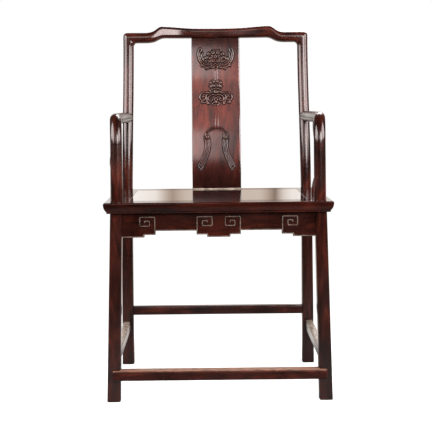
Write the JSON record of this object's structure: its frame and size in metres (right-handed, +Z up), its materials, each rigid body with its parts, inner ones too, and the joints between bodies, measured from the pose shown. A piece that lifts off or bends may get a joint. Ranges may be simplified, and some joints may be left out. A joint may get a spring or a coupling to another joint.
{
  "type": "armchair",
  "caption": "Rigid hardwood armchair with a stepped yoke crest rail, curved splat, bowed arms, mitred seat frame with floating board, fretted aprons and rising stretchers",
  "frame": {"origin": "on the floor, below the middle of the chair's width and depth", "axes": "+X to the right of someone who faces the chair, +Y from the front to the back, +Z up"},
  "size_m": [0.5796, 0.52, 0.9788],
  "materials": {
    "dark_hardwood": "polished dark reddish-brown hardwood",
    "polished_board": "high polish over dark reddish-brown hardwood",
    "worn_hardwood": "dark hardwood, worn lighter along its upper edge"
  },
  "bodies": {
    "root": {"left_front_leg": "dark_hardwood", "right_front_leg": "dark_hardwood", "left_rear_leg": "dark_hardwood", "right_rear_leg": "dark_hardwood", "front_seat_rail": "dark_hardwood", "rear_seat_rail": "dark_hardwood", "left_seat_rail": "dark_hardwood", "right_seat_rail": "dark_hardwood", "seat_board": "polished_board", "left_seat_batten": "dark_hardwood", "right_seat_batten": "dark_hardwood", "crest_rail": "dark_hardwood", "back_splat": "polished_board", "left_arm": "dark_hardwood", "right_arm": "dark_hardwood", "left_side_post": "dark_hardwood", "right_side_post": "dark_hardwood", "front_apron": "dark_hardwood", "left_apron": "dark_hardwood", "right_apron": "dark_hardwood", "rear_apron": "dark_hardwood", "foot_rail": "worn_hardwood", "left_stretcher": "dark_hardwood", "right_stretcher": "dark_hardwood", "rear_stretcher": "dark_hardwood"}
  },
  "joints": []
}
